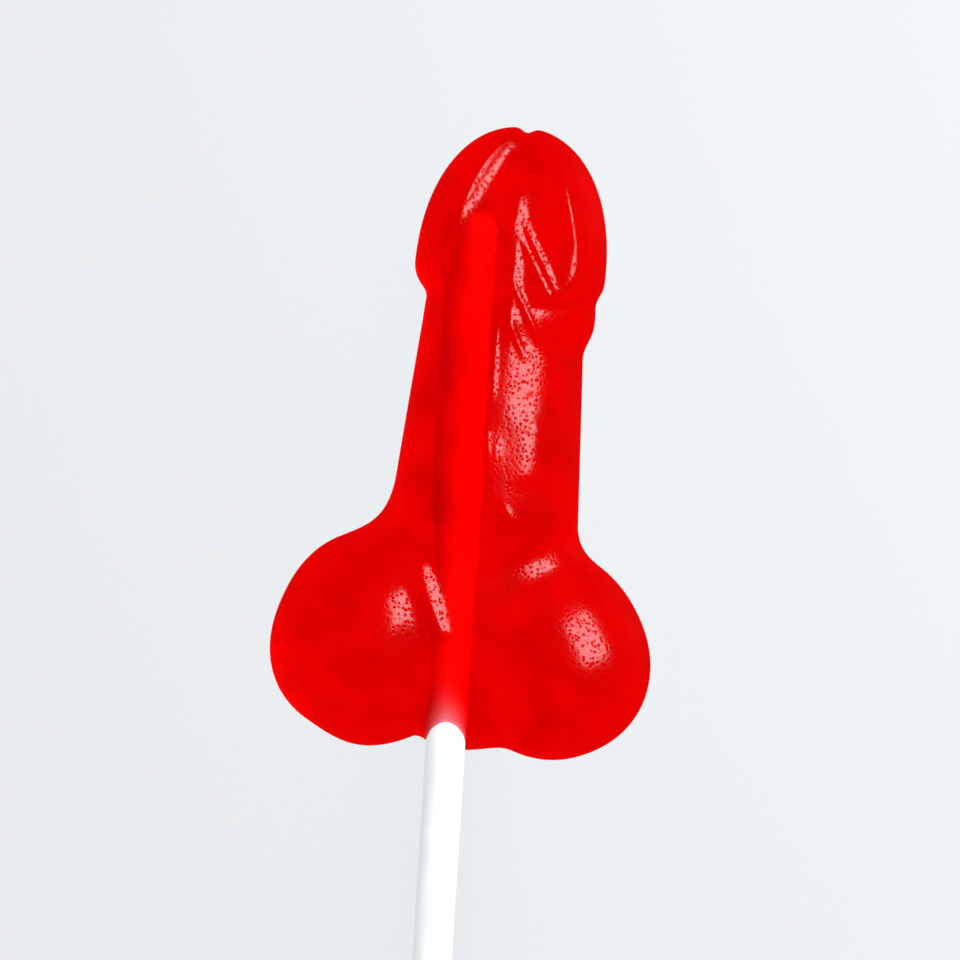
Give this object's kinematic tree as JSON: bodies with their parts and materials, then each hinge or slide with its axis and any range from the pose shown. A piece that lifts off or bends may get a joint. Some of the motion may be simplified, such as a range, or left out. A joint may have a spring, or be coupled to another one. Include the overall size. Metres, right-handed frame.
{
  "type": "penis lollipop",
  "caption": "Novelty lollipop of clear red boiled sugar moulded in the shape of a penis, flat at the back, on a round white paper stick.",
  "frame": {"origin": "middle of the lollipop's box, at the level of the candy's flat back", "axes": "+Y along the stick towards the tip, +Z out of the moulded front, +X to the right as the front is seen"},
  "size_m": [0.0382, 0.1234, 0.012],
  "materials": {
    "red_candy": "glossy, clear deep red boiled sugar with a finely pitted skin",
    "white_paper": "matt rolled white paper"
  },
  "bodies": {
    "root": {"candy": "red_candy", "stick": "white_paper"}
  },
  "joints": []
}
